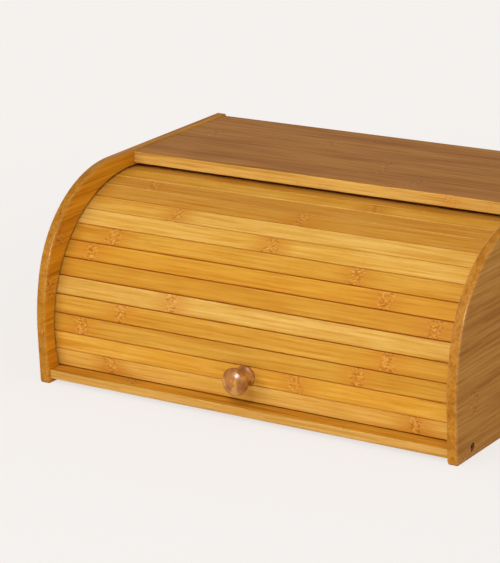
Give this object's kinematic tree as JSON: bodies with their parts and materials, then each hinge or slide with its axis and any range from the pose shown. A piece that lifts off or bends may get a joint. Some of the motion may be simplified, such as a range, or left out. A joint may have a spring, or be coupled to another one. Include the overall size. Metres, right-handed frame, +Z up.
{
  "type": "roll-front bread box",
  "caption": "Bamboo bread box with a slatted front that rolls up under the top board, opened by a turned knob.",
  "frame": {"origin": "centre of the bounding box on the floor, with the curtain shut; the side panels' bottom edges are at Z = 0", "axes": "+X to the right seen from the front, -Y towards the front (the knob), +Z up"},
  "size_m": [0.4, 0.2845, 0.1688],
  "materials": {
    "panel_bamboo": "satin lacquer",
    "board_bamboo": "satin lacquer",
    "slat_bamboo": "satin lacquer",
    "knob_wood": "gloss lacquer",
    "canvas_cloth": "woven",
    "brass_screw": "plain",
    "steel_screw": "plain"
  },
  "bodies": {
    "case": {"side_panel_left": "panel_bamboo", "side_panel_right": "panel_bamboo", "base_board": "board_bamboo", "top_board": "board_bamboo", "back_panel": "board_bamboo", "side_screws": "brass_screw"},
    "curtain": {"slat_01": "slat_bamboo", "slat_02": "slat_bamboo", "slat_03": "slat_bamboo", "slat_04": "slat_bamboo", "slat_05": "slat_bamboo", "slat_06": "slat_bamboo", "slat_07": "slat_bamboo", "slat_08": "slat_bamboo", "slat_09": "slat_bamboo", "slat_10": "slat_bamboo", "slat_11": "slat_bamboo", "slat_12": "slat_bamboo", "slat_13": "slat_bamboo", "slat_14": "slat_bamboo", "slat_15": "slat_bamboo", "canvas_backing": "canvas_cloth", "knob": "knob_wood", "knob_screw": "steel_screw"}
  },
  "joints": [
    {"name": "curtain_roll", "type": "hinge", "parent": "case", "child": "curtain", "pos_m": [0, -0.00504, 0.04], "axis": [-1, 0, 0], "range_deg": [0, 87]}
  ]
}
